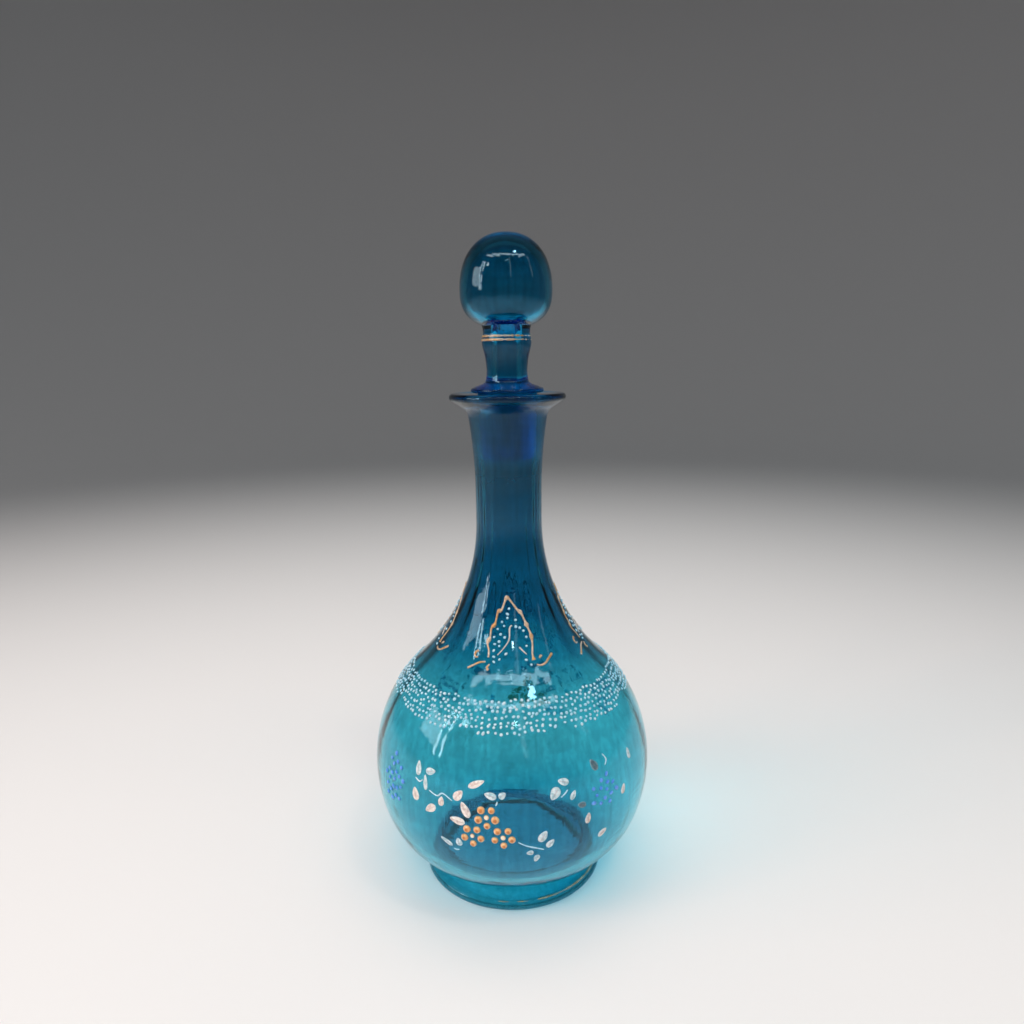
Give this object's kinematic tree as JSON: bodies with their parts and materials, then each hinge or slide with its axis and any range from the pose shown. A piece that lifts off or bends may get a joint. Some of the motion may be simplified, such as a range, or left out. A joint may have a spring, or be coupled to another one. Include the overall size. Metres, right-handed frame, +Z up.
{
  "type": "rosewater bottle",
  "caption": "Long-necked globe bottle of blown teal glass on a low foot, with a ball stopper, gilt arches, a garland of enamel dots and enamel flower sprigs.",
  "frame": {"origin": "centre of the foot's underside, on the surface that the bottle stands on", "axes": "+Z up along the neck, -Y towards the front sprig of flowers, +X to the right seen from the front"},
  "size_m": [0.114, 0.116, 0.259],
  "materials": {
    "blue_glass": "clear blown glass, gloss",
    "gilding": "worn fired gold, satin",
    "white_enamel": "raised enamel, gloss",
    "orange_enamel": "raised enamel, gloss",
    "blue_enamel": "raised enamel, gloss",
    "pinkish_enamel": "raised enamel, gloss"
  },
  "bodies": {
    "bottle": {"bottle": "blue_glass", "foot": "blue_glass", "foot_gilding": "gilding", "arch_front": "gilding", "arch_right": "gilding", "arch_back": "gilding", "arch_left": "gilding", "arch_strokes_front": "white_enamel", "arch_strokes_right": "white_enamel", "arch_strokes_back": "white_enamel", "arch_strokes_left": "white_enamel", "arch_dots_front": "white_enamel", "arch_dots_right": "white_enamel", "arch_dots_back": "white_enamel", "arch_dots_left": "white_enamel", "garland_front": "white_enamel", "garland_right": "white_enamel", "garland_back": "white_enamel", "garland_left": "white_enamel", "berries_front": "orange_enamel", "berries_back": "orange_enamel", "pearls_front": "white_enamel", "pearls_back": "white_enamel", "leaves_front": "white_enamel", "leaves_right": "pinkish_enamel", "leaves_back": "white_enamel", "leaves_left": "pinkish_enamel", "stems_front": "white_enamel", "stems_right": "white_enamel", "stems_back": "white_enamel", "stems_left": "white_enamel", "blue_cluster_front_right": "blue_enamel", "blue_cluster_back_right": "blue_enamel", "blue_cluster_back_left": "blue_enamel", "blue_cluster_front_left": "blue_enamel"},
    "stopper": {"stopper": "blue_glass", "collar_gilding": "gilding"}
  },
  "joints": [
    {"name": "stopper_lift", "type": "slide", "parent": "bottle", "child": "stopper", "axis": [0, 0, 1], "range_m": [0, 0.06]}
  ]
}
